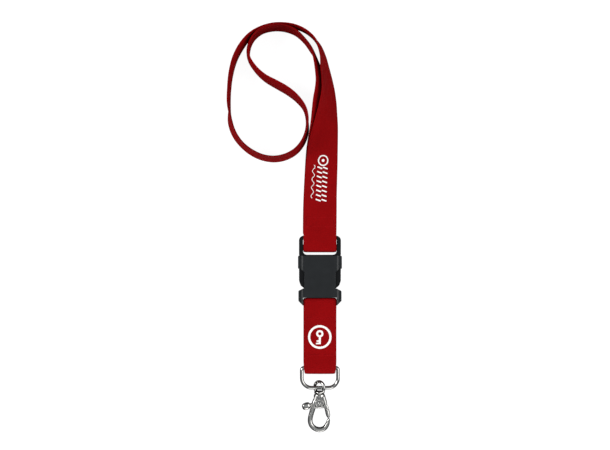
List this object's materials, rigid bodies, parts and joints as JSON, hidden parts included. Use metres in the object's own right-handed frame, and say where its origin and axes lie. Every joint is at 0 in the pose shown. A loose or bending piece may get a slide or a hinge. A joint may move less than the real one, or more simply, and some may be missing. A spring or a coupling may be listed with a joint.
{
  "type": "lanyard",
  "caption": "Neck lanyard of flat webbing with side-release buckle, short tab, D-ring and swivelling trigger snap hook, laid flat.",
  "frame": {"origin": "centre of the buckle socket's flat back face, on the surface the lanyard lies on", "axes": "+Y up the strap to the neck loop, -Y to the hook; +X to the right seen from the printed side; +Z away from the surface"},
  "size_m": [0.0867, 0.3086, 0.0251],
  "materials": {
    "webbing": "dark red smooth woven polyester",
    "thread": "dark red sewing thread",
    "acetal": "black moulded acetal",
    "plated_steel": "nickel-plated steel wire",
    "plated_zinc": "nickel-plated die-cast zinc",
    "spring_steel": "bare spring wire"
  },
  "bodies": {
    "neck": {"neck_strap": "webbing", "neck_strap_stitching": "thread", "buckle_plug": "acetal"},
    "prong_left": {"buckle_prong_left": "acetal"},
    "prong_right": {"buckle_prong_right": "acetal"},
    "tab": {"tab_strap": "webbing", "tab_strap_stitching": "thread", "buckle_socket": "acetal"},
    "ring": {"d_ring": "plated_steel"},
    "eye": {"swivel_eye": "plated_zinc"},
    "hook": {"hook_body": "plated_zinc", "trigger_pin": "plated_steel", "trigger_spring": "spring_steel"},
    "trigger": {"trigger_gate": "plated_zinc"}
  },
  "joints": [
    {"name": "prong_left_press", "type": "hinge", "parent": "neck", "child": "prong_left", "pos_m": [-0.0125, 0.0145, 0.004], "axis": [0, 0, 1], "range_deg": [0, 9], "stiffness_Nm_per_rad": 0.1},
    {"name": "prong_right_press", "type": "hinge", "parent": "neck", "child": "prong_right", "pos_m": [0.0125, 0.0145, 0.004], "axis": [0, 0, -1], "range_deg": [0, 9], "stiffness_Nm_per_rad": 0.1},
    {"name": "buckle_release", "type": "slide", "parent": "neck", "child": "tab", "axis": [0, -1, 0], "range_m": [0, 0.034], "deforming": ["buckle_prong_left", "buckle_prong_right"]},
    {"name": "ring_swing", "type": "hinge", "parent": "tab", "child": "ring", "pos_m": [0, -0.0662, 0.004], "axis": [1, 0, 0], "range_deg": [-75, 75]},
    {"name": "eye_swing", "type": "hinge", "parent": "ring", "child": "eye", "pos_m": [0, -0.0815, 0.004], "axis": [1, 0, 0], "range_deg": [-40, 40]},
    {"name": "hook_swivel", "type": "hinge", "parent": "eye", "child": "hook", "pos_m": [-0.0004, -0.088, 0.004], "axis": [0, 1, 0], "continuous": true},
    {"name": "trigger_pull", "type": "hinge", "parent": "hook", "child": "trigger", "pos_m": [-0.0004, -0.0929, 0.004], "axis": [0, 0, -1], "range_deg": [0, 27], "stiffness_Nm_per_rad": 0.02, "deforming": ["trigger_spring"]}
  ]
}
